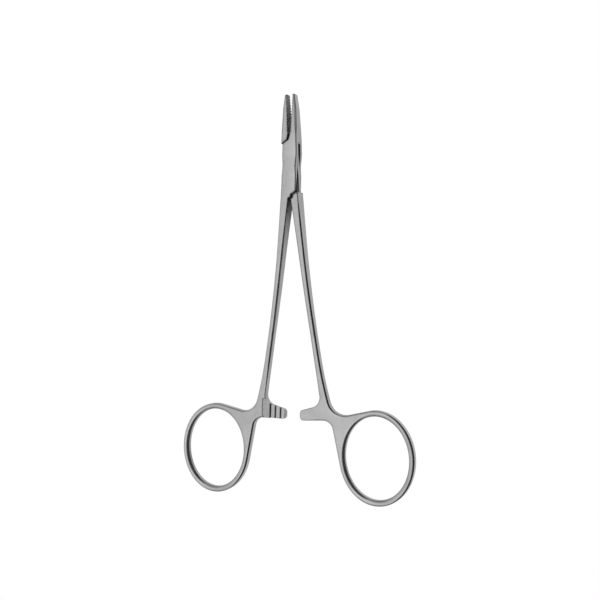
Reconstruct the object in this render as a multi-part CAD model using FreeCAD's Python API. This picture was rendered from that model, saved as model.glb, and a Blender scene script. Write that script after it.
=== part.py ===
"""Needle holder with a box lock: two forged steel halves that cross on one riveted pin.

Frame: the instrument lies flat. The pivot axis is Z, the back faces of the box lie on Z = 0,
the jaws point along +Y and the finger rings along -Y. All sizes are millimetres.
Each half is drawn closed, with its jaw face on X = 0, and is then turned to its rest angle.
"""
import FreeCAD, Part
import math
import os

# Overall sizes
TIP_Y = 26.7                  # pivot to jaw tip
RING_END_Y = 123.6            # pivot to the far end of the finger rings
REST_OPENING_DEG = 4.7        # angle between the halves as the instrument lies here

# Thickness along the instrument
BOX_THICK = 5.3
TIP_THICK = 3.1
HANDLE_THICK = 3.4
BOX_TOP_Y = 9.5               # above this the jaws get thinner
BOX_TOP_BEND = 20.0           # radii of the bends between the thick and thin stretches
BOX_LOW_Y = -12.0             # below this the shanks get thinner
BOX_LOW_BEND = 60.0
HANDLE_FLAT_Y = -62.0         # below this the handle keeps one thickness
HANDLE_BEND = 300.0

# Rounded front and back edges
BOX_EDGE_RADIUS = 0.3
TIP_EDGE_RADIUS = 0.25
HANDLE_EDGE_RADIUS = 0.8
RING_HOLE_EDGE_RADIUS = 1.2   # the finger side of the ring's wire
ARM_EDGE_RADIUS = 0.4
EDGE_BLEND_LENGTH = 20.0      # the edges get rounder over this length below the box
ARM_BLEND_LENGTH = 2.0        # and sharper again over this length of the ratchet arm

# Box lock
BOX_HALF_WIDTH = 2.87
WAIST_HALF_WIDTH = 2.56       # slight waist beside the pin
WAIST_REACH = 3.4
WAIST_RADIUS = 18.0
BOX_SHOULDER_Y = 5.4          # the jaws start to narrow here
SLOT_HEIGHT = 1.8             # the slot takes the middle third of the box
TANG_CLEARANCE = 0.05         # each face of the tang to the slot
SLOT_END_CLEARANCE = 0.16     # slot ends and steps to the other half, with the jaws closed
STEP_TOP_CLEARANCE = 0.18
STEP_LOW_CLEARANCE = 0.6
STEP_TOP_SIDE_Y = 8.05        # slanted upper step of the cheeks, at the box's side
STEP_TOP_INNER = (-0.4, 9.7)  # its inner corner
STEP_LOW_SIDE_Y = -9.0        # slanted lower step, at the box's other side
STEP_LOW_INNER = (0.9, -10.2)
STEP_LOW_FOOT = (0.72, -11.15)
SLOT_TOP_SIDE_Y = 8.15        # slot ends at the box's sides
SLOT_TOP_INNER_Y = 10.5       # and at the middle line
SLOT_LOW_SIDE_Y = -7.85
SLOT_LOW_INNER_Y = -10.3
CROTCH_Y = -11.6              # the shanks part here

# Pivot pin
PIN_RADIUS = 1.2
PIN_RUNNING_CLEARANCE = 0.03

# Jaws
JAW_FACE_CLEARANCE = 0.02     # each jaw face to the middle plane
JAW_THROAT_Y = 12.0           # the jaw face starts here
JAW_MID = (2.33, 14.5, 60.0)  # corners of the outer edge, with their radii
JAW_NOSE = (1.72, 21.4, 15.0)
JAW_TIP_WIDTH = 0.74
JAW_TIP_RADIUS = 0.35
JAW_NOSE_RADIUS = 1.2         # round-over of the tip, front and back
JAW_NOSE_STANDOFF = 0.03      # its arc would pass the front and the end by this much
SERRATION_PITCH = 1.05
SERRATION_DEPTH = 0.3
SERRATION_WIDTH = 0.8
SERRATION_MARGIN = 0.55       # plain face at each end
FACET_START_Y = 10.0          # shallow bevel along the outer edges of the jaws
FACET_SLOPE_DEG = 24.0
FACET_WIDTH = 0.8             # its width beside the jaw's middle and nose
FACET_TIP_WIDTH = 0.45

# Shank: corners of its outer and inner edges, with their radii
SHANK_OUTER_TOP = (-2.87, -9.5, 120.0)
SHANK_MID_SHARE = 0.5336      # place of the slight bend between the top and low corners
SHANK_OUTER_MID_X = -5.0
SHANK_OUTER_MID_RADIUS = 600.0
SHANK_OUTER_LOW_X = -8.85
SHANK_OUTER_LOW_RADIUS = 150.0
SHANK_LOW_BEND_RISE = 4.3     # foot of the low bend above the ring's top
SHANK_LOW_BEND_SHARE = 0.05   # the bend's corner above its foot, as a share of its radius
SHANK_SPREAD_DEG = 12.7       # lean of the outer edge where it meets the web
SHANK_INNER_MID_X = -3.1
SHANK_INNER_MID_RADIUS = 1200.0
SHANK_INNER_LOW_X = -7.75

# Finger ring: an elliptic hole inside a wire, joined to the shank by a flat web
RING_CENTRE_X = -28.05
RING_HOLE_HALF_WIDTH = 12.0
RING_HOLE_HALF_LENGTH = 14.85
RING_WIRE = 2.1
RING_TOP_SLOPE_DEG = 10.8     # slope of the web's upper edge where it leaves the ring
RING_SIDE_LEAN_DEG = 9.3      # lean of the web's lower edge where it leaves the ring
WEB_VALLEY_RADIUS = 6.2

# Ratchet arm
ARM_TIP_X = 0.6
ARM_DROP = 0.05               # upper edge at the tip, below the ring's top
ARM_TOP_SLOPE = 0.24
ARM_HEIGHT = 3.6
ARM_SHANK_RADIUS = 3.8
ARM_RING_RADIUS = 3.8
ARM_TIP_RADIUS = 1.3
RATCHET_ROOTS = 3
RATCHET_PITCH = 2.12
RATCHET_LAST_ROOT_X = -1.25   # root nearest the tip
RATCHET_DEPTH = 0.7
RATCHET_LAND_DROP = 0.06      # fall of each tooth's back over its flat stretch
RATCHET_FALL_WIDTH = 0.75     # the rest of the back falls steeply to the root
RATCHET_FIRST_FALL_WIDTH = 0.35
RATCHET_CLEARANCE = 0.05      # each row of crests to the middle plane
RECESS_X = -8.5               # far wall of the ground recess around the teeth
RECESS_WALL_DEPTH = 0.3       # depth below the handle's front at that wall
RECESS_RAMP_DEPTH = 0.95      # and where its sloping floor ends, above the first root
RECESS_RISE = 4.4             # the recess reaches this far above the arm's upper edge
RECESS_SLANT = (2.5, -1.72)   # run of its slanted upper end
RECESS_TOP_RADIUS = 0.6
RECESS_LOW_RADIUS = 2.0
RECESS_LOW_DROP = 0.25        # its lower end passes the arm's edge by this much

RING_CENTRE_Y = -(RING_END_Y - RING_WIRE - RING_HOLE_HALF_LENGTH)
RING_TOP_Y = RING_CENTRE_Y + RING_HOLE_HALF_LENGTH + RING_WIRE
ARM_TOP_Y = RING_TOP_Y - ARM_DROP
ARM_LOW_Y = ARM_TOP_Y - ARM_HEIGHT
ARM_NECK_Y = ARM_TOP_Y - ARM_TOP_SLOPE * (SHANK_INNER_LOW_X - ARM_TIP_X)
RECESS_TOP_Y = ARM_TOP_Y + RECESS_RISE
SHANK_OUTER_LOW_Y = RING_TOP_Y + SHANK_LOW_BEND_RISE + SHANK_LOW_BEND_SHARE * SHANK_OUTER_LOW_RADIUS
SHANK_OUTER_LOW = (SHANK_OUTER_LOW_X, SHANK_OUTER_LOW_Y, SHANK_OUTER_LOW_RADIUS)
SHANK_MID_Y = SHANK_OUTER_TOP[1] + SHANK_MID_SHARE * (SHANK_OUTER_LOW_Y - SHANK_OUTER_TOP[1])
SHANK_OUTER_MID = (SHANK_OUTER_MID_X, SHANK_MID_Y, SHANK_OUTER_MID_RADIUS)
SHANK_INNER_MID = (SHANK_INNER_MID_X, SHANK_MID_Y, SHANK_INNER_MID_RADIUS)
OVER = 1.0                    # how far cutters run past what they cut
WIDE = BOX_HALF_WIDTH + OVER
TALL = BOX_THICK / 2.0 + OVER


def vec(x, y, z=0.0):
    return FreeCAD.Vector(x, y, z)


def rounded_path(corners):
    """Edges of a path through corners (x, y, radius); a radius of 0 leaves a corner sharp."""
    edges = []
    start = vec(corners[0][0], corners[0][1])
    for before, here, after in zip(corners, corners[1:], corners[2:]):
        corner = vec(here[0], here[1])
        radius = here[2]
        if radius == 0.0:
            edges.append(Part.LineSegment(start, corner).toShape())
            start = corner
            continue
        inward = (vec(before[0], before[1]) - corner).normalize()
        outward = (vec(after[0], after[1]) - corner).normalize()
        half_angle = inward.getAngle(outward) / 2.0
        reach = radius / math.tan(half_angle)
        first = corner + inward * reach
        last = corner + outward * reach
        middle = corner + (inward + outward).normalize() * (radius / math.sin(half_angle) - radius)
        edges.append(Part.LineSegment(start, first).toShape())
        edges.append(Part.Arc(first, middle, last).toShape())
        start = last
    edges.append(Part.LineSegment(start, vec(corners[-1][0], corners[-1][1])).toShape())
    return edges


def face_of(edges):
    return Part.Face(Part.Wire(Part.__sortEdges__(edges)))


def prism(points, low_z, high_z):
    """A solid between two heights over a polygon."""
    ring = [vec(x, y, low_z) for x, y in points]
    return Part.Face(Part.makePolygon(ring + [ring[0]])).extrude(vec(0, 0, high_z - low_z))


def line_crossing(point_a, slope_a, point_b, lean_b):
    """Where y = ya + slope_a (x - xa) meets x = xb + lean_b (y - yb)."""
    xa, ya = point_a
    xb, yb = point_b
    x = (xb + lean_b * (ya - slope_a * xa - yb)) / (1.0 - lean_b * slope_a)
    return x, ya + slope_a * (x - xa)


def ring_ellipse(grow):
    """The ring's ellipse, grown outwards from the hole by the given amount."""
    centre = vec(RING_CENTRE_X, RING_CENTRE_Y)
    top = centre + vec(0, RING_HOLE_HALF_LENGTH + grow)
    side = centre + vec(RING_HOLE_HALF_WIDTH + grow, 0)
    return Part.Ellipse(top, side, centre)


def ring_point(turn):
    """A point of the wire's outer ellipse."""
    x = RING_CENTRE_X + (RING_HOLE_HALF_WIDTH + RING_WIRE) * math.cos(turn)
    y = RING_CENTRE_Y + (RING_HOLE_HALF_LENGTH + RING_WIRE) * math.sin(turn)
    return x, y


def waist_corners(side):
    """Corners of the shallow waist on one side of the box, from its top to its foot."""
    return [
        (side * BOX_HALF_WIDTH, WAIST_REACH, WAIST_RADIUS),
        (side * WAIST_HALF_WIDTH, 0.0, WAIST_RADIUS),
        (side * BOX_HALF_WIDTH, -WAIST_REACH, WAIST_RADIUS),
    ]


def half_outline():
    """Outline of one half before its lock is cut: ring on the left, jaw on the right."""
    aspect = (RING_HOLE_HALF_LENGTH + RING_WIRE) / (RING_HOLE_HALF_WIDTH + RING_WIRE)
    top_slope = math.tan(math.radians(RING_TOP_SLOPE_DEG))
    side_lean = math.tan(math.radians(RING_SIDE_LEAN_DEG))
    spread = math.tan(math.radians(SHANK_SPREAD_DEG))
    ring_top = ring_point(math.atan2(aspect, top_slope))
    ring_side = ring_point(-math.atan(side_lean * aspect))
    valley = line_crossing(ring_top, -top_slope, SHANK_OUTER_LOW[:2], spread)
    arm_foot_x = ring_side[0] + side_lean * (ARM_LOW_Y - ring_side[1])

    corners = [
        ring_top + (0.0,),
        valley + (WEB_VALLEY_RADIUS,),
        SHANK_OUTER_LOW,
        SHANK_OUTER_MID,
        SHANK_OUTER_TOP,
    ]
    corners += reversed(waist_corners(-1))
    corners += [
        (-BOX_HALF_WIDTH, JAW_THROAT_Y, 0.0),
        (JAW_FACE_CLEARANCE, JAW_THROAT_Y, 0.0),
        (JAW_FACE_CLEARANCE, TIP_Y, JAW_TIP_RADIUS),
        (JAW_TIP_WIDTH, TIP_Y, JAW_TIP_RADIUS),
        JAW_NOSE,
        JAW_MID,
        (BOX_HALF_WIDTH, BOX_SHOULDER_Y, WAIST_RADIUS),
    ]
    corners += waist_corners(1)
    corners += [
        (BOX_HALF_WIDTH, CROTCH_Y, 0.0),
        (-JAW_FACE_CLEARANCE, CROTCH_Y, 0.0),
        SHANK_INNER_MID,
        (SHANK_INNER_LOW_X, ARM_NECK_Y, ARM_SHANK_RADIUS),
        (ARM_TIP_X, ARM_TOP_Y, ARM_TIP_RADIUS),
        (ARM_TIP_X, ARM_LOW_Y, ARM_TIP_RADIUS),
        (arm_foot_x, ARM_LOW_Y, ARM_RING_RADIUS),
        ring_side + (0.0,),
    ]
    outer = ring_ellipse(RING_WIRE)
    first = outer.parameter(vec(*ring_side))
    last = outer.parameter(vec(*ring_top))
    return rounded_path(corners) + [Part.ArcOfEllipse(outer, first, last).toShape()]


def half_thickness_at(y):
    """Half the thickness, without the bends between the stretches."""
    if y > BOX_TOP_Y:
        share = (y - BOX_TOP_Y) / (TIP_Y - BOX_TOP_Y)
        return (BOX_THICK + share * (TIP_THICK - BOX_THICK)) / 2.0
    share = (BOX_LOW_Y - y) / (BOX_LOW_Y - HANDLE_FLAT_Y)
    share = min(max(share, 0.0), 1.0)
    return (BOX_THICK + share * (HANDLE_THICK - BOX_THICK)) / 2.0


def thickness_slab(left_x, right_x):
    """A wide solid with the instrument's thickness along its length."""
    far_end = -RING_END_Y - OVER
    near_end = TIP_Y + OVER
    front = rounded_path([
        (far_end, HANDLE_THICK / 2.0, 0.0),
        (HANDLE_FLAT_Y, HANDLE_THICK / 2.0, HANDLE_BEND),
        (BOX_LOW_Y, BOX_THICK / 2.0, BOX_LOW_BEND),
        (BOX_TOP_Y, BOX_THICK / 2.0, BOX_TOP_BEND),
        (near_end, half_thickness_at(near_end), 0.0),
    ])
    back = [edge.mirror(vec(0, 0), vec(0, 1)) for edge in front]
    ends = []
    for y in (far_end, near_end):
        half = half_thickness_at(y)
        ends.append(Part.LineSegment(vec(y, -half), vec(y, half)).toShape())
    profile = face_of(front + back + ends)
    # the profile is drawn in (Y, Z) and stands up here
    profile.transformShape(FreeCAD.Matrix(0, 0, 1, left_x, 1, 0, 0, 0, 0, 1, 0, 0, 0, 0, 0, 1))
    return profile.extrude(vec(right_x - left_x, 0, 0))


def edge_radius_at(point):
    """Radius of the rounded front and back edges at a point of the outline."""
    if point.y > BOX_TOP_Y:
        share = (point.y - BOX_TOP_Y) / (TIP_Y - BOX_TOP_Y)
        return BOX_EDGE_RADIUS + share * (TIP_EDGE_RADIUS - BOX_EDGE_RADIUS)
    share = min(max((BOX_LOW_Y - point.y) / EDGE_BLEND_LENGTH, 0.0), 1.0)
    radius = BOX_EDGE_RADIUS + share * (HANDLE_EDGE_RADIUS - BOX_EDGE_RADIUS)
    along_arm = min(max((point.x - RECESS_X) / ARM_BLEND_LENGTH, 0.0), 1.0)
    if ARM_LOW_Y - OVER < point.y < ARM_NECK_Y + OVER:
        radius += along_arm * (ARM_EDGE_RADIUS - radius)
    return radius


def is_long_edge(solid, edge):
    """Whether an edge runs along the outline between a side and the front or back."""
    middle = edge.valueAt((edge.FirstParameter + edge.LastParameter) / 2.0)
    faces = solid.ancestorsOfType(edge, Part.Face)
    flat = [abs(face.normalAt(*face.Surface.parameter(middle)).z) > 0.9 for face in faces]
    at_lock = abs(middle.y - JAW_THROAT_Y) < 0.01 or abs(middle.y - CROTCH_Y) < 0.01
    return flat.count(True) == 1 and not at_lock


def round_edges(solid):
    """Rounds the long front and back edges, more on the handle than on the box, jaws and arm."""
    chosen = []
    for number, edge in enumerate(solid.Edges, start=1):
        if is_long_edge(solid, edge):
            radii = [edge_radius_at(vertex.Point) for vertex in edge.Vertexes]
            if edge.isClosed():
                radii = [RING_HOLE_EDGE_RADIUS]
            chosen.append((number, radii[0], radii[-1]))
    document = FreeCAD.newDocument("rounding")
    base = document.addObject("Part::Feature", "base")
    base.Shape = solid
    rounded = document.addObject("Part::Fillet", "rounded")
    rounded.Base = base
    rounded.Edges = chosen
    document.recompute()
    result = rounded.Shape.copy()
    FreeCAD.closeDocument(document.Name)
    return result


def jaw_facets():
    """Cutters for the shallow bevels on the jaw's outer edges, front and back."""
    slope = (BOX_HALF_WIDTH - JAW_MID[0]) / (JAW_MID[1] - BOX_SHOULDER_Y)
    start_x = BOX_HALF_WIDTH - slope * (FACET_START_Y - BOX_SHOULDER_Y)
    stations = [
        (start_x, FACET_START_Y, 0.0),
        (JAW_MID[0], JAW_MID[1], FACET_WIDTH),
        (JAW_NOSE[0], JAW_NOSE[1], FACET_WIDTH),
        (JAW_TIP_WIDTH, TIP_Y + OVER, FACET_TIP_WIDTH),
    ]
    fall = math.tan(math.radians(FACET_SLOPE_DEG))
    cutters = []
    for side in (1, -1):
        sections = []
        for x, y, width in stations:
            top = half_thickness_at(y)
            corners = [
                (x - width - OVER, top + OVER * fall),
                (x + OVER, top - (width + OVER) * fall),
                (x + OVER, top + TALL),
                (x - width - OVER, top + TALL),
            ]
            ring = [vec(corner_x, y, side * corner_z) for corner_x, corner_z in corners]
            sections.append(Part.makePolygon(ring + [ring[0]]))
        cutters.append(Part.makeLoft(sections, True, True))
    return cutters


def nose_cutters():
    """Cutters that round the jaw's tip over, front and back."""
    reach = JAW_NOSE_RADIUS * math.sqrt(0.5)
    centre_y = TIP_Y + JAW_NOSE_STANDOFF - JAW_NOSE_RADIUS
    centre_z = half_thickness_at(TIP_Y) + JAW_NOSE_STANDOFF - JAW_NOSE_RADIUS
    cutters = []
    for side in (1, -1):
        around = [
            vec(centre_y, side * (centre_z + JAW_NOSE_RADIUS)),
            vec(centre_y, side * TALL),
            vec(TIP_Y + OVER, side * TALL),
            vec(TIP_Y + OVER, side * centre_z),
            vec(centre_y + JAW_NOSE_RADIUS, side * centre_z),
        ]
        middle = vec(centre_y + reach, side * (centre_z + reach))
        lines = [Part.LineSegment(a, b).toShape() for a, b in zip(around, around[1:])]
        profile = face_of(lines + [Part.Arc(around[-1], middle, around[0]).toShape()])
        # the profile is drawn in (Y, Z) and stands up here
        profile.transformShape(FreeCAD.Matrix(0, 0, 1, -OVER, 1, 0, 0, 0, 0, 1, 0, 0, 0, 0, 0, 1))
        cutters.append(profile.extrude(vec(JAW_MID[0] + 2.0 * OVER, 0, 0)))
    return cutters


def serrations():
    """Cutters for the grooves across the jaw face."""
    low = JAW_THROAT_Y + SERRATION_MARGIN
    high = TIP_Y - SERRATION_MARGIN
    count = int((high - low) / SERRATION_PITCH)
    start = (low + high - count * SERRATION_PITCH) / 2.0
    half = SERRATION_WIDTH / 2.0
    slope = half / SERRATION_DEPTH
    grooves = []
    for index in range(count + 1):
        y = start + index * SERRATION_PITCH
        mouth = half + slope * OVER
        grooves.append(prism([
            (JAW_FACE_CLEARANCE + SERRATION_DEPTH, y),
            (JAW_FACE_CLEARANCE - OVER, y + mouth),
            (JAW_FACE_CLEARANCE - OVER, y - mouth),
        ], -TALL, TALL))
    return grooves


def ratchet_cutter():
    """Cutter for the recess in front of the ratchet arm, with the saw teeth as its floor."""
    crest = -RATCHET_CLEARANCE
    root = crest - RATCHET_DEPTH
    first_root = RATCHET_LAST_ROOT_X - (RATCHET_ROOTS - 1) * RATCHET_PITCH
    far_x = ARM_TIP_X + OVER
    ramp_x = first_root - RATCHET_FIRST_FALL_WIDTH
    ramp_fall = (RECESS_RAMP_DEPTH - RECESS_WALL_DEPTH) / (ramp_x - RECESS_X)
    ramp_z = HANDLE_THICK / 2.0 - RECESS_RAMP_DEPTH
    start_x = RECESS_X - OVER
    floor = [
        (start_x, ramp_z + ramp_fall * (ramp_x - start_x)),
        (ramp_x, ramp_z),
        (first_root, root),
        (first_root, crest),
    ]
    for index in range(1, RATCHET_ROOTS):
        x = first_root + index * RATCHET_PITCH
        floor += [(x - RATCHET_FALL_WIDTH, crest - RATCHET_LAND_DROP), (x, root), (x, crest)]
    fall = (RATCHET_DEPTH - RATCHET_LAND_DROP) / RATCHET_FALL_WIDTH
    lead_x = ARM_TIP_X - RATCHET_FALL_WIDTH
    floor.append((lead_x, crest - RATCHET_LAND_DROP))
    floor.append((far_x, crest - RATCHET_LAND_DROP - fall * (far_x - lead_x)))
    low_y = ARM_LOW_Y - RECESS_LOW_DROP
    corners = [vec(x, low_y - OVER, z) for x, z in floor]
    corners += [vec(far_x, low_y - OVER, TALL), vec(RECESS_X - OVER, low_y - OVER, TALL)]
    teeth = Part.Face(Part.makePolygon(corners + [corners[0]]))
    teeth = teeth.extrude(vec(0, RECESS_TOP_Y - low_y + 2.0 * OVER, 0))
    slant_y = RECESS_TOP_Y + RECESS_SLANT[1]
    plan = face_of(rounded_path([
        (far_x, low_y, 0.0),
        (RECESS_X, low_y, RECESS_LOW_RADIUS),
        (RECESS_X, RECESS_TOP_Y, RECESS_TOP_RADIUS),
        (RECESS_X + RECESS_SLANT[0], slant_y, 0.0),
        (far_x, slant_y, 0.0),
        (far_x, low_y, 0.0),
    ]))
    plan.translate(vec(0, 0, -TALL))
    return teeth.common(plan.extrude(vec(0, 0, 2.0 * TALL)))


def blank_half():
    """One half before its lock is cut, with its ring, ratchet arm and jaw finished."""
    plan = face_of(half_outline()).cut(Part.Face(Part.Wire([ring_ellipse(0.0).toShape()])))
    plan.translate(vec(0, 0, -TALL))
    left = RING_CENTRE_X - RING_HOLE_HALF_WIDTH - RING_WIRE - OVER
    solid = plan.Faces[0].extrude(vec(0, 0, 2.0 * TALL))
    solid = solid.common(thickness_slab(left, WIDE)).Solids[0]
    return round_edges(solid).cut(jaw_facets() + nose_cutters() + serrations() + [ratchet_cutter()])


def shifted(points, dx, dy):
    return [(x + dx, y + dy) for x, y in points]


def upper_step():
    """The cheeks' upper step, from beyond the box's left side to the jaw face."""
    slope = (STEP_TOP_INNER[1] - STEP_TOP_SIDE_Y) / (STEP_TOP_INNER[0] + BOX_HALF_WIDTH)
    side = (-WIDE, STEP_TOP_SIDE_Y - slope * OVER)
    return [side, STEP_TOP_INNER, (JAW_FACE_CLEARANCE, JAW_THROAT_Y)]


def lower_step():
    """The cheeks' lower step, from beyond the box's right side to the crotch."""
    slope = (STEP_LOW_INNER[1] - STEP_LOW_SIDE_Y) / (STEP_LOW_INNER[0] - BOX_HALF_WIDTH)
    side = (WIDE, STEP_LOW_SIDE_Y + slope * OVER)
    return [side, STEP_LOW_INNER, STEP_LOW_FOOT, (-JAW_FACE_CLEARANCE, CROTCH_Y)]


def slot_end(side_x, side_y, inner_y):
    """One slanted end of the slot, from beyond the box's side to the middle line."""
    slope = (side_y - inner_y) / side_x
    far = math.copysign(WIDE, side_x)
    return [(far, inner_y + slope * far), (0.0, inner_y)]


def lock_of_box_half():
    """Cutters for the cheeks' steps, the slot between the cheeks and the pin holes."""
    above = JAW_THROAT_Y + OVER
    below = CROTCH_Y - OVER
    top = slot_end(BOX_HALF_WIDTH, SLOT_TOP_SIDE_Y, SLOT_TOP_INNER_Y)
    low = slot_end(-BOX_HALF_WIDTH, SLOT_LOW_SIDE_Y, SLOT_LOW_INNER_Y)
    slot = top + [(0.0, above), (-WIDE, above)] + low + [(0.0, below), (WIDE, below)]
    return [
        prism(upper_step() + [(0.0, above), (-WIDE, above)], -TALL, TALL),
        prism(lower_step() + [(0.0, below), (WIDE, below)], -TALL, TALL),
        prism(slot, -SLOT_HEIGHT / 2.0, SLOT_HEIGHT / 2.0),
        Part.makeCylinder(PIN_RADIUS, 2.0 * TALL, vec(0, 0, -TALL)),
    ]


def lock_of_insert_half():
    """Cutters that leave the thin tang between the jaw and the shank, and the pin's bore."""
    above = JAW_THROAT_Y + OVER
    below = CROTCH_Y - OVER
    gap = SLOT_END_CLEARANCE
    face = JAW_FACE_CLEARANCE
    top = shifted(upper_step(), -STEP_TOP_CLEARANCE / 2.0, STEP_TOP_CLEARANCE)
    top[-1] = (-face, JAW_THROAT_Y)
    low = shifted(lower_step(), STEP_LOW_CLEARANCE / 2.0, -STEP_LOW_CLEARANCE)
    low[-1] = (face, CROTCH_Y - STEP_LOW_CLEARANCE)
    cheek_space = top + [(-face, above), (WIDE, above)] + low + [(face, below), (-WIDE, below)]
    tang = SLOT_HEIGHT / 2.0 - TANG_CLEARANCE
    slot_top = shifted(slot_end(BOX_HALF_WIDTH, SLOT_TOP_SIDE_Y, SLOT_TOP_INNER_Y), 0.0, -gap)
    slot_low = shifted(slot_end(-BOX_HALF_WIDTH, SLOT_LOW_SIDE_Y, SLOT_LOW_INNER_Y), 0.0, gap)
    return [
        prism(cheek_space, tang, TALL),
        prism(cheek_space, -TALL, -tang),
        prism(slot_top + [(-face, SLOT_TOP_INNER_Y), (-face, above), (WIDE, above)], -TALL, TALL),
        prism(slot_low + [(face, SLOT_LOW_INNER_Y), (face, below), (-WIDE, below)], -TALL, TALL),
        Part.makeCylinder(PIN_RADIUS + PIN_RUNNING_CLEARANCE, 2.0 * TALL, vec(0, 0, -TALL)),
    ]


def placed(solid, turn_deg):
    """A closed half turned about the pivot to its rest angle, with its back on Z = 0."""
    solid = solid.copy()
    solid.rotate(vec(0, 0, 0), vec(0, 0, 1), turn_deg)
    solid.translate(vec(0, 0, BOX_THICK / 2.0))
    return solid


def make_parts():
    blank = blank_half()
    other = blank.copy()
    other.rotate(vec(0, 0, 0), vec(0, 1, 0), 180.0)
    half_turn = REST_OPENING_DEG / 2.0
    return {
        "box_half": placed(blank.cut(lock_of_box_half()), -half_turn),
        "insert_half": placed(other.cut(lock_of_insert_half()), half_turn),
        "pivot_pin": Part.makeCylinder(PIN_RADIUS, BOX_THICK),
    }


os.makedirs("parts", exist_ok=True)
for name, shape in make_parts().items():
    shape.exportStep("parts/" + name + ".step")
    print(name, len(shape.Solids), "solid", shape.isValid(), round(shape.Volume, 2), "mm3")
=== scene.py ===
"""Looks of a box-lock needle holder that lies slightly open on a white light table."""
import logging
import math
from dataclasses import dataclass, field
from enum import Enum
from typing import Union

import bpy
from mathutils import Matrix, Vector

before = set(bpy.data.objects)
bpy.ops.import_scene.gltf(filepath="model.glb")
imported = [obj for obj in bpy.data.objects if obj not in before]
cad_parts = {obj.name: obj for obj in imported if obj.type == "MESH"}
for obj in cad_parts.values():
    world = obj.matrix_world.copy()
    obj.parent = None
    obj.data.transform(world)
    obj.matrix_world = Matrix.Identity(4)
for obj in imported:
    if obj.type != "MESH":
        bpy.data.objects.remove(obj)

LOG = logging.getLogger("needle_holder")
MM = 0.001
REST_TURN_DEG = 2.35
HALF_THICKNESS_MM = 2.65
SHELTER_SAMPLES = 8
FULL_TURN_DEG = 360.0

Socket = bpy.types.NodeSocket
Tree = bpy.types.NodeTree
Value = Union[bpy.types.NodeSocket, float]


class Half(Enum):
    """The two halves, which share one outline: the second is the first turned about Y."""

    BOX = "box_half"
    INSERT = "insert_half"

    @property
    def flip(self) -> float:
        """Sign of X and Z in the half's own frame."""
        return 1.0 if self is Half.BOX else -1.0


class Graph:
    """Short ways to add and join the nodes of one tree."""

    def __init__(self, tree: Tree) -> None:
        """Works on one tree."""
        self.tree = tree

    def feed(self, socket: Socket, value: Value | tuple) -> None:
        """Links a socket to an input, or sets the input's value.

        Args:
            socket: The input.
            value: Another node's output, or a plain value.
        """
        if isinstance(value, bpy.types.NodeSocket):
            self.tree.links.new(value, socket)
        else:
            socket.default_value = value

    def add(self, kind: str, inputs: dict | None = None, **settings: object) -> bpy.types.Node:
        """Adds a node.

        Args:
            kind: Type of the node, without its ShaderNode prefix.
            inputs: Sockets or values by the input's name or number.
            settings: Attributes of the node, set before its inputs.

        Returns:
            The node.
        """
        node = self.tree.nodes.new("ShaderNode" + kind)
        for name, value in settings.items():
            setattr(node, name, value)
        for name, value in (inputs or {}).items():
            self.feed(node.inputs[name], value)
        return node

    def math(self, operation: str, first: Value, second: Value = 0.0) -> Socket:
        """Result of one Math node.

        Args:
            operation: Name of the operation.
            first: First socket or value.
            second: Second socket or value.

        Returns:
            The output.
        """
        return self.add("Math", {0: first, 1: second}, operation=operation).outputs[0]

    def chain(self, operation: str, values: tuple) -> Value:
        """Result of one operation over several values, from the first to the last.

        Args:
            operation: Name of the operation.
            values: The sockets or values.

        Returns:
            The last output.
        """
        result = values[0]
        for value in values[1:]:
            result = self.math(operation, result, value)
        return result

    def product(self, *factors: Value) -> Value:
        """Product of several sockets or values."""
        return self.chain("MULTIPLY", factors)

    def total(self, *parts: Value) -> Value:
        """Sum of several sockets or values."""
        return self.chain("ADD", parts)

    def blend(self, share: Value, first: Value, second: Value) -> Socket:
        """A value between two.

        Args:
            share: Share of the second one.
            first: First socket or value.
            second: Second socket or value.

        Returns:
            The output.
        """
        return self.add("Mix", {0: share, 2: first, 3: second}, data_type="FLOAT").outputs[0]

    def split(self, vector: Socket) -> list:
        """The X, Y and Z outputs of a vector."""
        return list(self.add("SeparateXYZ", {0: vector}).outputs)


@dataclass(frozen=True)
class Step:
    """A smooth step between two values.

    Attributes:
        start: Where the step starts.
        end: Where it ends, which may be below its start.
        low: Result at the start.
        high: Result at the end.
    """

    start: float
    end: float
    low: float = 0.0
    high: float = 1.0

    def lay(self, graph: Graph, value: Socket) -> Socket:
        """Adds the step to a tree.

        Args:
            graph: Graph of the tree.
            value: What is mapped.

        Returns:
            The output.
        """
        ends = {
            "Value": value,
            "From Min": self.start,
            "From Max": self.end,
            "To Min": self.low,
            "To Max": self.high,
        }
        return graph.add("MapRange", ends, interpolation_type="SMOOTHSTEP").outputs["Result"]


@dataclass(frozen=True)
class Line:
    """A straight edge of the closed half, drawn as X over Y in millimetres.

    Attributes:
        x: X at the line's start.
        y: Y at the line's start.
        slope: Change of X per millimetre of Y.
    """

    x: float
    y: float
    slope: float

    def lay(self, graph: Graph, y: Socket) -> Socket:
        """X of the line at a given Y.

        Args:
            graph: Graph of the material.
            y: Socket of Y.

        Returns:
            The output.
        """
        return graph.total(graph.product(graph.math("SUBTRACT", y, self.y), self.slope), self.x)


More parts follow.
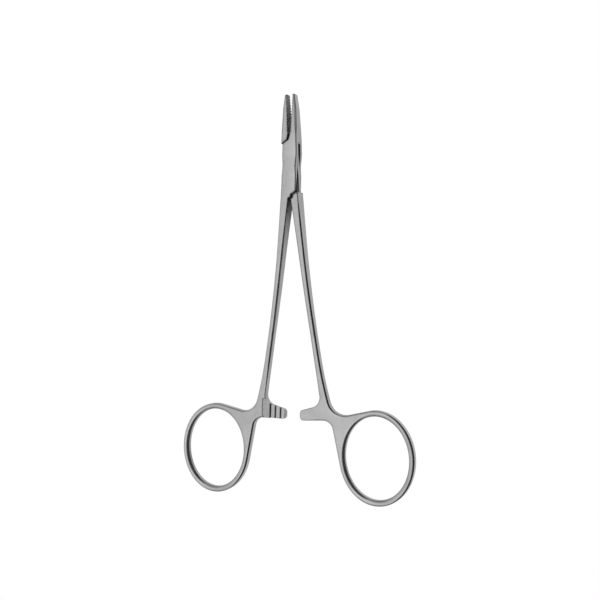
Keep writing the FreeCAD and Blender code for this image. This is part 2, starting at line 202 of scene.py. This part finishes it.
@dataclass
class Effects:
    """Surface effects that the finishes share, each of them one node group.

    Attributes:
        cloud_detail: Detail of the clouds.
        line_detail: Detail of the brushing lines.
        gap_light: Open share of the surroundings, from a gap's darkest painted shade to none.
        edge_light: Open share on the inside, from where an edge starts to its full mask.
        mottle: Soft clouds in the tone.
        brushing: Fine lines along the instrument.
        hatch: Crossed grooves.
        painted_gap_shade: Painted shade in gaps and corners.
        edge: Mask of the outer edges, for the painted shade along them.
    """

    cloud_detail: float = 3.0
    line_detail: float = 2.0
    gap_light: Step = Step(0.3, 0.85)
    edge_light: Step = Step(0.97, 0.72)
    mottle: Tree = field(init=False)
    brushing: Tree = field(init=False)
    hatch: Tree = field(init=False)
    painted_gap_shade: Tree = field(init=False)
    edge: Tree = field(init=False)

    def __post_init__(self) -> None:
        """Builds the groups."""
        self.mottle = self.make_mottle()
        self.brushing = self.make_brushing()
        self.hatch = self.make_hatch()
        self.painted_gap_shade = self.make_painted_gap_shade()
        self.edge = self.make_edge()

    def start(self, name: str, inputs: tuple, outputs: tuple) -> tuple:
        """Starts a node group.

        Args:
            name: Name of the group.
            inputs: Names of its inputs; Place is a vector and the rest are values.
            outputs: Names of its outputs.

        Returns:
            Its graph, its input node and its output node.
        """
        tree = bpy.data.node_groups.new(name, "ShaderNodeTree")
        for socket in inputs:
            kind = "NodeSocketVector" if socket == "Place" else "NodeSocketFloat"
            tree.interface.new_socket(socket, in_out="INPUT", socket_type=kind)
        for socket in outputs:
            tree.interface.new_socket(socket, in_out="OUTPUT", socket_type="NodeSocketFloat")
        return Graph(tree), tree.nodes.new("NodeGroupInput"), tree.nodes.new("NodeGroupOutput")

    def around_one(self, graph: Graph, noise: Socket, amount: Socket) -> Socket:
        """Turns noise from 0 to 1 into a tone that swings around 1.

        Args:
            graph: Graph of the group.
            noise: The noise.
            amount: How far the tone swings.

        Returns:
            The tone.
        """
        swing = graph.math("SUBTRACT", graph.product(noise, 2.0), 1.0)
        return graph.total(graph.product(swing, amount), 1.0)

    def make_mottle(self) -> Tree:
        """Soft clouds of one size in millimetres, around a tone of 1.

        Returns:
            The group.
        """
        graph, given, result = self.start(
            "mottle", ("Place", "Size", "Amount"), ("Tone", "Height"))
        scale = graph.math("DIVIDE", 1.0, given.outputs["Size"])
        cloud = graph.add("TexNoise", {
            "Vector": given.outputs["Place"],
            "Scale": scale,
            "Detail": self.cloud_detail,
        }).outputs["Fac"]
        tone = self.around_one(graph, cloud, given.outputs["Amount"])
        graph.feed(result.inputs["Tone"], tone)
        graph.feed(result.inputs["Height"], cloud)
        return graph.tree

    def make_brushing(self) -> Tree:
        """Fine lines along Y with a pitch and a length in millimetres.

        Returns:
            The group.
        """
        graph, given, result = self.start(
            "brushing", ("Place", "Pitch", "Length", "Amount"), ("Tone", "Height"))
        across = graph.math("DIVIDE", 1.0, given.outputs["Pitch"])
        along = graph.math("DIVIDE", 1.0, given.outputs["Length"])
        scale = graph.add("CombineXYZ", {0: across, 1: along, 2: across}).outputs[0]
        stretched = graph.add(
            "VectorMath", {0: given.outputs["Place"], 1: scale}, operation="MULTIPLY")
        lines = graph.add("TexNoise", {
            "Vector": stretched.outputs[0],
            "Scale": 1.0,
            "Detail": self.line_detail,
        }).outputs["Fac"]
        tone = self.around_one(graph, lines, given.outputs["Amount"])
        graph.feed(result.inputs["Tone"], tone)
        graph.feed(result.inputs["Height"], lines)
        return graph.tree

    def make_hatch(self) -> Tree:
        """Two crossed sets of grooves in the YZ plane, with a pitch in millimetres.

        Returns:
            The group.
        """
        graph, given, result = self.start("hatch", ("Place", "Pitch"), ("Height",))
        y, z = graph.split(given.outputs["Place"])[1:]
        grooves = []
        for operation in ("ADD", "SUBTRACT"):
            slanted = graph.math("DIVIDE", graph.math(operation, y, z), given.outputs["Pitch"])
            grooves.append(graph.math("PINGPONG", slanted, 0.5))
        graph.feed(result.inputs["Height"], graph.total(*grooves))
        return graph.tree

    def make_painted_gap_shade(self) -> Tree:
        """Painted shade of gaps and corners within a reach in metres, 1 where the surface is
        open.

        Returns:
            The group.
        """
        graph, given, result = self.start("painted_gap_shade", ("Reach", "Depth"), ("Shade",))
        shelter = graph.add(
            "AmbientOcclusion", {"Distance": given.outputs["Reach"]}, samples=SHELTER_SAMPLES)
        shade = self.gap_light.lay(graph, shelter.outputs["AO"])
        shade = graph.blend(given.outputs["Depth"], 1.0, shade)
        graph.feed(result.inputs["Shade"], shade)
        return graph.tree

    def make_edge(self) -> Tree:
        """Mask of the outer edges within a reach in metres, for the painted shade along them.

        Returns:
            The group.
        """
        graph, given, result = self.start("edge", ("Reach",), ("Mask",))
        inside = graph.add("AmbientOcclusion", {"Distance": given.outputs["Reach"]},
                           samples=SHELTER_SAMPLES, inside=True)
        graph.feed(result.inputs["Mask"], self.edge_light.lay(graph, inside.outputs["AO"]))
        return graph.tree


@dataclass(frozen=True)
class Spot:
    """A point of the surface in the frame of the closed half, as sockets.

    Attributes:
        place: Its place in millimetres.
        x: Its place across the half.
        y: Its place along the half, towards the jaw's tip.
        z: Its place from the middle of the thickness, towards the half's own front.
        face_x: How far the surface faces across the half.
        face_z: How far it faces the half's own front.
    """

    place: Socket
    x: Socket
    y: Socket
    z: Socket
    face_x: Socket
    face_z: Socket


@dataclass(frozen=True)
class Layer:
    """One finish, as sockets.

    Attributes:
        tone: Grey level of the metal.
        roughness: Its roughness.
        height: Its height in millimetres.
    """

    tone: Socket
    roughness: Socket
    height: Socket

    def under(self, graph: Graph, mask: Socket, other: "Layer") -> "Layer":
        """Covers this layer with another one where the mask is white.

        Args:
            graph: Graph of the material.
            mask: Share of the other layer.
            other: The other layer.

        Returns:
            The mixed layer.
        """
        return Layer(
            graph.blend(mask, self.tone, other.tone),
            graph.blend(mask, self.roughness, other.roughness),
            graph.blend(mask, self.height, other.height),
        )


@dataclass(frozen=True)
class Clouds:
    """Soft clouds of one size in a finish.

    Attributes:
        size: Their size in millimetres.
        amount: How far they change the tone.
        depth: Their height in millimetres.
    """

    size: float
    amount: float
    depth: float


@dataclass(frozen=True)
class Brushing:
    """Fine grinding lines of a finish.

    Attributes:
        pitch: Their pitch in millimetres.
        length: Their length in millimetres.
        amount: How far they change the tone.
        depth: Their height in millimetres.
    """

    pitch: float
    length: float
    amount: float
    depth: float


@dataclass(frozen=True)
class Grinding:
    """One way in which the stainless steel is ground.

    Attributes:
        tone: Grey level of the metal.
        roughness: Mean roughness.
        wide_clouds: Clouds that change the tone over a wide area.
        fine_clouds: Smaller clouds, which also change the roughness.
        lines: The grinding lines.
        roughness_swing: How far the fine clouds change the roughness.
    """

    tone: float
    roughness: float
    wide_clouds: Clouds
    fine_clouds: Clouds
    lines: Brushing
    roughness_swing: float = 0.1

    def lay(self, graph: Graph, effects: Effects, place: Socket) -> Layer:
        """Adds the finish to a material.

        Args:
            graph: Graph of the material.
            effects: The shared effects.
            place: Place in millimetres.

        Returns:
            The finish's layer.
        """
        brushed = graph.add("Group", {
            "Place": place,
            "Pitch": self.lines.pitch,
            "Length": self.lines.length,
            "Amount": self.lines.amount,
        }, node_tree=effects.brushing)
        wide = self.lay_clouds(graph, effects, place, self.wide_clouds)
        fine = self.lay_clouds(graph, effects, place, self.fine_clouds)
        tone = graph.product(
            brushed.outputs["Tone"], self.tone, wide.outputs["Tone"], fine.outputs["Tone"])
        height = graph.total(
            graph.product(brushed.outputs["Height"], self.lines.depth),
            graph.product(wide.outputs["Height"], self.wide_clouds.depth),
            graph.product(fine.outputs["Height"], self.fine_clouds.depth))
        swing = graph.product(
            graph.math("SUBTRACT", fine.outputs["Height"], 0.5), self.roughness_swing)
        return Layer(tone, graph.total(swing, self.roughness), height)

    def lay_clouds(self, graph: Graph, effects: Effects, place: Socket,
                   clouds: Clouds) -> bpy.types.Node:
        """Adds one size of clouds.

        Args:
            graph: Graph of the material.
            effects: The shared effects.
            place: Place in millimetres.
            clouds: The clouds.

        Returns:
            The clouds' node.
        """
        inputs = {"Place": place, "Size": clouds.size, "Amount": clouds.amount}
        return graph.add("Group", inputs, node_tree=effects.mottle)


SATIN = Grinding(
    tone=0.62, roughness=0.24,
    wide_clouds=Clouds(6.0, 0.16, 0.05), fine_clouds=Clouds(1.3, 0.10, 0.004),
    lines=Brushing(0.14, 2.5, 0.06, 0.0015))
GROUND = Grinding(
    tone=0.60, roughness=0.38,
    wide_clouds=Clouds(1.6, 0.14, 0.01), fine_clouds=Clouds(0.5, 0.14, 0.004),
    lines=Brushing(0.12, 1.2, 0.14, 0.004))
JAW_STEEL = Grinding(
    tone=0.78, roughness=0.60,
    wide_clouds=Clouds(1.6, 0.10, 0.01), fine_clouds=Clouds(0.5, 0.15, 0.004),
    lines=Brushing(0.12, 1.2, 0.12, 0.004))


@dataclass(frozen=True)
class JawFace:
    """Serrated face of the jaw: rough steel with crossed grooves.

    Attributes:
        steel: How it is ground.
        hatch_pitch: Pitch of the crossed grooves in millimetres.
        hatch_depth: Their depth in millimetres.
        start_y: Where the face starts along the jaw.
        inner_x: Where it starts across the jaw.
        facing: How far the surface has to face the other jaw.
    """

    steel: Grinding = JAW_STEEL
    hatch_pitch: float = 0.42
    hatch_depth: float = 0.06
    start_y: Step = Step(11.7, 12.2)
    inner_x: Step = Step(0.9, 0.6)
    facing: Step = Step(-0.2, -0.45)

    def mask(self, graph: Graph, spot: Spot) -> Socket:
        """Where the face is.

        Args:
            graph: Graph of the material.
            spot: The point of the surface.

        Returns:
            The mask.
        """
        return graph.product(
            self.start_y.lay(graph, spot.y),
            self.inner_x.lay(graph, spot.x),
            self.facing.lay(graph, spot.face_x))

    def lay(self, graph: Graph, effects: Effects, spot: Spot) -> Layer:
        """Adds the hatched finish.

        Args:
            graph: Graph of the material.
            effects: The shared effects.
            spot: The point of the surface.

        Returns:
            The finish's layer.
        """
        plain = self.steel.lay(graph, effects, spot.place)
        hatch = graph.add("Group", {"Place": spot.place, "Pitch": self.hatch_pitch},
                          node_tree=effects.hatch)
        grooves = graph.product(hatch.outputs["Height"], self.hatch_depth)
        return Layer(plain.tone, plain.roughness, graph.total(plain.height, grooves))


@dataclass(frozen=True)
class RatchetRecess:
    """Recess with the saw teeth on the arm, its edges in millimetres.

    Attributes:
        steel: How it is ground.
        left_x: Where the recess starts across the arm.
        top_y: Its upper end.
        bottom_y: Its lower end.
        front_z: The arm's front, which the recess lies below.
        facing: How far the surface has to face the front.
        floor_x: Where the painted shade on the floor's left part, towards the wall, starts.
        floor_painted_shade: How much darker that painted shade makes it.
        wall_x: Where the painted shade in the corner at the left wall starts.
        wall_painted_shade: How much darker that painted shade makes the corner.
        lead_x: Where the slope at the arm's tip starts.
        lead_blur: Half the width over which its roughness starts.
        lead_rise: How steep it is, as height over length.
        lead_roughness: Its roughness.
    """

    steel: Grinding = GROUND
    left_x: Step = Step(-8.55, -8.45)
    top_y: Step = Step(-84.0, -85.0)
    bottom_y: Step = Step(-96.0, -95.0)
    front_z: Step = Step(1.5, 1.42)
    facing: Step = Step(0.15, 0.3)
    floor_x: Step = Step(-5.7, -6.0)
    floor_painted_shade: float = 0.16
    wall_x: Step = Step(-8.0, -8.4)
    wall_painted_shade: float = 0.2
    lead_x: float = -0.15
    lead_blur: float = 0.1
    lead_rise: float = 0.5
    lead_roughness: float = 0.55

    def mask(self, graph: Graph, spot: Spot) -> Socket:
        """Where the recess is.

        Args:
            graph: Graph of the material.
            spot: The point of the surface.

        Returns:
            The mask.
        """
        return graph.product(
            self.left_x.lay(graph, spot.x),
            self.top_y.lay(graph, spot.y),
            self.bottom_y.lay(graph, spot.y),
            self.front_z.lay(graph, spot.z),
            self.facing.lay(graph, spot.face_z))

    def light(self, graph: Graph, spot: Spot, mask: Socket) -> Socket:
        """Tone that the painted shade on the floor and in the wall's corner leaves.

        Args:
            graph: Graph of the material.
            spot: The point of the surface.
            mask: Where the recess is.

        Returns:
            The share of the tone.
        """
        # Painted shade: the floor's left part and the corner at the left wall are darkened in
        # the colour.
        floor = graph.product(mask, self.floor_x.lay(graph, spot.x), self.floor_painted_shade)
        wall = graph.product(mask, self.wall_x.lay(graph, spot.x), self.wall_painted_shade)
        return graph.math("SUBTRACT", graph.math("SUBTRACT", 1.0, floor), wall)

    def lead_mask(self, graph: Graph, spot: Spot, mask: Socket) -> Socket:
        """Where the slope at the arm's tip is.

        Args:
            graph: Graph of the material.
            spot: The point of the surface.
            mask: Where the recess is.

        Returns:
            The mask.
        """
        start = Step(self.lead_x - self.lead_blur, self.lead_x + self.lead_blur)
        return graph.product(mask, start.lay(graph, spot.x))

    def lead_height(self, graph: Graph, spot: Spot, lead_mask: Socket) -> Socket:
        """Height of the slope at the arm's tip.

        Args:
            graph: Graph of the material.
            spot: The point of the surface.
            lead_mask: Where the slope is.

        Returns:
            The height in millimetres.
        """
        past = graph.math("MAXIMUM", graph.math("SUBTRACT", spot.x, self.lead_x), 0.0)
        return graph.product(past, lead_mask, self.lead_rise)


@dataclass(frozen=True)
class LockForm:
    """Soft forms of the box and the jaw that are drawn by bump, in millimetres.

    Attributes:
        crown: How far the front falls off towards the box's sides.
        crown_low_y: Where the crown starts below the lock.
        crown_high_y: Where it ends above it.
        half_width: Half the width of the box.
        waist_depth: How much narrower the box is at the pivot.
        waist_reach: How far from the pivot it is narrower.
        jaw_edges: Outer edge of the jaw, one line after the other.
        bevel_width: Width of the bevel along that outline.
        bevel_slope: How steep the bevel is, as height over width.
        bevel_reach: How far past its inner edge it goes on falling.
        bevel_y: Where it starts below the lock.
    """

    crown: float = 0.08
    crown_low_y: Step = Step(-16.0, -6.0)
    crown_high_y: Step = Step(14.0, 7.0)
    half_width: float = 2.87
    waist_depth: float = 0.31
    waist_reach: float = 3.4
    jaw_edges: tuple = (
        Line(2.87, 5.4, -0.0593), Line(2.43, 14.5, -0.0884), Line(1.82, 21.4, -0.185))
    bevel_width: float = 0.26
    bevel_slope: float = 0.7
    bevel_reach: float = 1.0
    bevel_y: Step = Step(-11.4, -9.5)

    def crown_height(self, graph: Graph, spot: Spot) -> Socket:
        """Height of the crown across the box.

        Args:
            graph: Graph of the material.
            spot: The point of the surface.

        Returns:
            The height in millimetres.
        """
        beside = graph.math("DIVIDE", spot.x, self.half_width)
        near = graph.product(
            self.crown_low_y.lay(graph, spot.y), self.crown_high_y.lay(graph, spot.y))
        return graph.product(graph.product(beside, beside), near, -self.crown)

    def edge_x(self, graph: Graph, y: Socket) -> Socket:
        """Half the width of the outline that the bevel follows.

        Args:
            graph: Graph of the material.
            y: Place along the half.

        Returns:
            The half width.
        """
        waist = graph.math("DIVIDE", graph.math("ABSOLUTE", y), self.waist_reach)
        waist = graph.math("MAXIMUM", graph.math("SUBTRACT", 1.0, waist), 0.0)
        box = graph.math("SUBTRACT", self.half_width, graph.product(waist, self.waist_depth))
        return graph.chain("MINIMUM", (box, *(line.lay(graph, y) for line in self.jaw_edges)))

    def bevel_height(self, graph: Graph, spot: Spot) -> Socket:
        """Height of the soft bevels along the box and the jaw.

        Args:
            graph: Graph of the material.
            spot: The point of the surface.

        Returns:
            The height in millimetres.
        """
        edge_x = self.edge_x(graph, spot.y)
        past = graph.math("SUBTRACT", graph.math("ABSOLUTE", spot.x), edge_x)
        past = graph.math("MAXIMUM", graph.total(past, self.bevel_width), 0.0)
        past = graph.math("MINIMUM", past, self.bevel_reach)
        return graph.product(past, self.bevel_y.lay(graph, spot.y), -self.bevel_slope)


@dataclass(frozen=True)
class PaintedShade:
    """Painted shade: dark lines along the lock's outer edges, standing in for their dark
    reflections, and painted shade in gaps and corners.

    Attributes:
        edge_reach: Width of the lines along the edges in metres.
        edge_painted_shade: How much darker the painted lines are.
        edge_y: Where they start below the lock, in millimetres.
        past_pin: Distance from the pivot past which they start, so the ground pin has none.
        gap_reach: Width of the painted shade in gaps in metres.
        gap_depth: How dark it is.
    """

    edge_reach: float = 0.6 * MM
    edge_painted_shade: float = 0.4
    edge_y: Step = Step(-40.0, -14.0)
    past_pin: Step = Step(1.7, 2.1)
    gap_reach: float = 1.4 * MM
    gap_depth: float = 0.92

    def edge_light(self, graph: Graph, effects: Effects, spot: Spot) -> Socket:
        """Tone that the painted shade along the edges leaves.

        Args:
            graph: Graph of the material.
            effects: The shared effects.
            spot: The point of the surface.

        Returns:
            The share of the tone.
        """
        edge = graph.add("Group", {"Reach": self.edge_reach}, node_tree=effects.edge)
        from_pin = graph.math("SQRT", graph.total(
            graph.product(spot.x, spot.x), graph.product(spot.y, spot.y)))
        # Painted shade: the dark lines along the edges are darkened into the colour.
        shade = graph.product(
            edge.outputs["Mask"],
            self.edge_y.lay(graph, spot.y),
            self.past_pin.lay(graph, from_pin),
            self.edge_painted_shade)
        return graph.math("SUBTRACT", 1.0, shade)

    def gap_light(self, graph: Graph, effects: Effects, jaw_mask: Socket) -> Socket:
        """Tone that the painted shade in gaps and corners leaves, apart from the jaw's face.

        Args:
            graph: Graph of the material.
            effects: The shared effects.
            jaw_mask: Where the jaw's face is.

        Returns:
            The share of the tone.
        """
        # Painted shade in gaps and corners, darkened into the colour.
        inputs = {"Reach": self.gap_reach, "Depth": self.gap_depth}
        painted_gap_shade = graph.add("Group", inputs, node_tree=effects.painted_gap_shade)
        return graph.blend(jaw_mask, painted_gap_shade.outputs["Shade"], 1.0)


@dataclass(frozen=True)
class HalfSteel:
    """Steel of one half: satin, with a hatched jaw face and a ground ratchet.

    Attributes:
        half: Which half it is.
        satin: How most of it is ground.
        jaw: Its jaw's face.
        ratchet: The recess with the ratchet's teeth.
        lock: The soft forms around the lock.
        painted_shade: The painted shade along edges and in gaps.
    """

    half: Half
    satin: Grinding = SATIN
    jaw: JawFace = JawFace()
    ratchet: RatchetRecess = RatchetRecess()
    lock: LockForm = LockForm()
    painted_shade: PaintedShade = PaintedShade()

    def find_spot(self, graph: Graph) -> Spot:
        """Turns object coordinates into the frame of the closed half.

        Args:
            graph: Graph of the material.

        Returns:
            The point of the surface.
        """
        given = graph.add("TexCoord")
        flip = self.half.flip
        turn = (0.0, 0.0, math.radians(REST_TURN_DEG))
        place = graph.add("Mapping", {
            "Vector": given.outputs["Object"],
            "Location": (0.0, 0.0, -HALF_THICKNESS_MM * flip),
            "Rotation": turn,
            "Scale": (flip / MM, 1.0 / MM, flip / MM),
        }).outputs[0]
        facing = graph.add("Mapping", {
            "Vector": given.outputs["Normal"],
            "Rotation": turn,
            "Scale": (flip, 1.0, flip),
        }, vector_type="VECTOR").outputs[0]
        face_x, _, face_z = graph.split(facing)
        return Spot(place, *graph.split(place), face_x, face_z)

    def build(self, effects: Effects) -> bpy.types.Material:
        """Makes the material.

        Args:
            effects: The shared effects.

        Returns:
            The new material.
        """
        material = bpy.data.materials.new(self.half.value + "_steel")
        material.use_nodes = True
        graph = Graph(material.node_tree)
        spot = self.find_spot(graph)
        jaw_mask = self.jaw.mask(graph, spot)
        ratchet_mask = self.ratchet.mask(graph, spot)
        lead_mask = self.ratchet.lead_mask(graph, spot, ratchet_mask)

        layer = self.satin.lay(graph, effects, spot.place)
        ground = self.ratchet.steel.lay(graph, effects, spot.place)
        layer = layer.under(graph, ratchet_mask, ground)
        layer = layer.under(graph, jaw_mask, self.jaw.lay(graph, effects, spot))

        # Painted shade goes into the colour here: on the recess's floor and wall corner, along
        # the edges, and in gaps and corners.
        tone = graph.product(
            layer.tone,
            self.ratchet.light(graph, spot, ratchet_mask),
            self.painted_shade.edge_light(graph, effects, spot),
            self.painted_shade.gap_light(graph, effects, jaw_mask))
        roughness = graph.blend(lead_mask, layer.roughness, self.ratchet.lead_roughness)
        height = graph.total(
            layer.height,
            self.lock.crown_height(graph, spot),
            self.lock.bevel_height(graph, spot),
            self.ratchet.lead_height(graph, spot, lead_mask))

        bump = graph.add("Bump", {"Height": height, "Distance": MM, "Strength": 1.0})
        shader = material.node_tree.nodes["Principled BSDF"]
        graph.feed(shader.inputs["Metallic"], 1.0)
        graph.feed(shader.inputs["Base Color"], tone)
        graph.feed(shader.inputs["Roughness"], roughness)
        graph.feed(shader.inputs["Normal"], bump.outputs["Normal"])
        return material


@dataclass(frozen=True)
class NeedleHolder:
    """The instrument: two halves, and a pin that is ground over with the half it sits in.

    Attributes:
        box: Steel of the half with the box.
        insert: Steel of the half that passes through it.
        pin: Node of the pin.
    """

    box: HalfSteel = HalfSteel(Half.BOX)
    insert: HalfSteel = HalfSteel(Half.INSERT)
    pin: str = "pivot_pin"

    def cover(self, node: str, material: bpy.types.Material) -> None:
        """Gives a CAD node its finish.

        Args:
            node: Name of the node.
            material: The finish.
        """
        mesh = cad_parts[node].data
        mesh.materials.clear()
        mesh.materials.append(material)
        LOG.info("%s dressed in %s", node, material.name)

    def dress(self, effects: Effects) -> None:
        """Dresses every piece.

        Args:
            effects: The shared effects.
        """
        box_steel = self.box.build(effects)
        self.cover(self.box.half.value, box_steel)
        self.cover(self.insert.half.value, self.insert.build(effects))
        self.cover(self.pin, box_steel)


@dataclass(frozen=True)
class Camera:
    """Camera at the photograph's place, for a square picture.

    Attributes:
        eye: Its place in metres.
        swing_deg: Its turn about Y, to the instrument's right.
        nod_deg: Its turn about its own X.
        roll_deg: Its turn about the line of sight.
        focal_px: Focal length in pixels.
        frame_px: Width of the picture in pixels.
        sensor_mm: Width of the sensor.
        near: Nearest distance that it sees, in metres.
        far: Farthest distance that it sees, in metres.
    """

    eye: tuple = (0.1379, -0.0474, 0.3060)
    swing_deg: float = 23.984
    nod_deg: float = -0.297
    roll_deg: float = -0.405
    focal_px: float = 902.99
    frame_px: float = 600.0
    sensor_mm: float = 36.0
    near: float = 0.01
    far: float = 20.0

    def aim(self) -> None:
        """Adds the camera to the scene."""
        lens = bpy.data.cameras.new("camera")
        lens.sensor_width = self.sensor_mm
        lens.lens = self.sensor_mm * self.focal_px / self.frame_px
        lens.clip_start = self.near
        lens.clip_end = self.far
        camera = bpy.data.objects.new("camera", lens)
        turn = Matrix.Rotation(math.radians(self.swing_deg), 3, "Y")
        turn = turn @ Matrix.Rotation(math.radians(self.nod_deg), 3, "X")
        turn = turn @ Matrix.Rotation(math.radians(self.roll_deg), 3, "Z")
        camera.matrix_world = Matrix.Translation(Vector(self.eye)) @ turn.to_4x4()
        bpy.context.scene.collection.objects.link(camera)
        bpy.context.scene.camera = camera
        LOG.info("camera aimed")


@dataclass(frozen=True)
class LightTable:
    """Table that looks plain white to the camera and lets the steel see the tent below it, with
    a painted contact shadow around the steel.

    Attributes:
        width: Width of the table in metres.
        drop: How far it lies below the instrument, so their faces don't meet.
        painted_shadow_reach: How far around the steel the painted contact shadow reaches, in
            metres.
        painted_shadow_light: Open share of the surroundings, from black painted shadow to
            clear.
        black: Colour of the darkest painted contact shadow.
        clear: Colour where it lets all light through.
    """

    width: float = 6.0
    drop: float = 0.1 * MM
    painted_shadow_reach: float = 15.0 * MM
    painted_shadow_light: Step = Step(0.1, 0.6)
    black: tuple = (0.0, 0.0, 0.0, 1.0)
    clear: tuple = (1.0, 1.0, 1.0, 1.0)

    def make_white(self) -> bpy.types.Material:
        """White for camera rays, and for all other rays open, with a painted contact shadow
        near the steel.

        Returns:
            The new material.
        """
        material = bpy.data.materials.new("table_white")
        material.use_nodes = True
        nodes = material.node_tree.nodes
        nodes.remove(nodes["Principled BSDF"])
        graph = Graph(material.node_tree)
        plain = graph.add("Emission", {"Strength": 1.0})
        # Painted contact shadow: near the steel the table turns black for all but camera rays,
        # hiding the tent below.
        contact = graph.add(
            "AmbientOcclusion", {"Distance": self.painted_shadow_reach}, samples=SHELTER_SAMPLES)
        shaded = graph.add("BsdfTransparent", {"Color": self.black})
        clear = graph.add("BsdfTransparent", {"Color": self.clear})
        below = graph.add("MixShader", {
            0: self.painted_shadow_light.lay(graph, contact.outputs["AO"]),
            1: shaded.outputs[0],
            2: clear.outputs[0],
        })
        seen = graph.add("LightPath")
        mix = graph.add("MixShader", {
            0: seen.outputs["Is Camera Ray"],
            1: below.outputs[0],
            2: plain.outputs["Emission"],
        })
        graph.feed(nodes["Material Output"].inputs["Surface"], mix.outputs["Shader"])
        return material

    def lay(self) -> None:
        """Adds the table under the instrument."""
        bpy.ops.object.select_all(action="DESELECT")
        bpy.ops.mesh.primitive_plane_add(size=self.width, location=(0.0, 0.0, -self.drop))
        table = bpy.context.object
        table.name = "table"
        table.data.materials.append(self.make_white())
        LOG.info("table laid")


@dataclass(frozen=True)
class Tent:
    """Light tent around the instrument, brightest overhead and dark at its right.

    Attributes:
        levels: Angle from straight up, to the right, and the tent's level there.
        ends: Share of the level that is left towards the tips and the rings.
    """

    levels: tuple = (
        (-180.0, 0.66), (-150.0, 0.58), (-110.0, 0.48), (-70.0, 0.60),
        (-45.0, 0.60), (-30.0, 0.64), (-18.0, 0.82), (-6.0, 0.98),
        (6.0, 0.80), (24.0, 0.32), (40.0, 0.07), (55.0, 0.02),
        (125.0, 0.02), (140.0, 0.24), (158.0, 0.66), (180.0, 0.70),
    )
    ends: Step = Step(0.45, 0.9, 1.0, 0.5)

    def colour(self, ramp: bpy.types.ColorRamp) -> None:
        """Sets the levels on a colour ramp, whose middle is straight up.

        Args:
            ramp: The ramp, with its first two stops.
        """
        stops = [(degrees / FULL_TURN_DEG + 0.5, level) for degrees, level in self.levels]
        elements = ramp.elements
        elements[0].position = stops[0][0]
        elements[1].position = stops[-1][0]
        for place, _ in stops[1:-1]:
            elements.new(place)
        for element, (_, level) in zip(elements, stops):
            element.color = (level, level, level, 1.0)

    def hang(self) -> None:
        """Makes the tent the scene's world."""
        world = bpy.data.worlds.new("tent")
        bpy.context.scene.world = world
        world.use_nodes = True
        graph = Graph(world.node_tree)
        x, y, z = graph.split(graph.add("TexCoord").outputs["Generated"])
        angle = graph.math("ARCTAN2", x, z)
        turn = graph.total(graph.product(angle, 0.5 / math.pi), 0.5)
        levels = graph.add("ValToRGB", {"Fac": turn})
        self.colour(levels.color_ramp)
        share = self.ends.lay(graph, graph.math("ABSOLUTE", y))
        background = world.node_tree.nodes["Background"]
        graph.feed(background.inputs["Color"], levels.outputs["Color"])
        graph.feed(background.inputs["Strength"], share)
        LOG.info("tent hung")


@dataclass(frozen=True)
class Studio:
    """Everything around the instrument.

    Attributes:
        camera: The camera.
        table: The light table.
        tent: The light tent.
        view: How the picture's tones are shown.
    """

    camera: Camera = Camera()
    table: LightTable = LightTable()
    tent: Tent = Tent()
    view: str = "Standard"

    def build(self) -> None:
        """Sets up the camera, the table and the tent."""
        self.camera.aim()
        self.table.lay()
        self.tent.hang()
        bpy.context.scene.view_settings.view_transform = self.view


def main() -> None:
    """Builds the scene."""
    logging.basicConfig(level=logging.INFO)
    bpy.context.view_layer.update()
    Studio().build()
    NeedleHolder().dress(Effects())


if __name__ == "__main__":
    main()
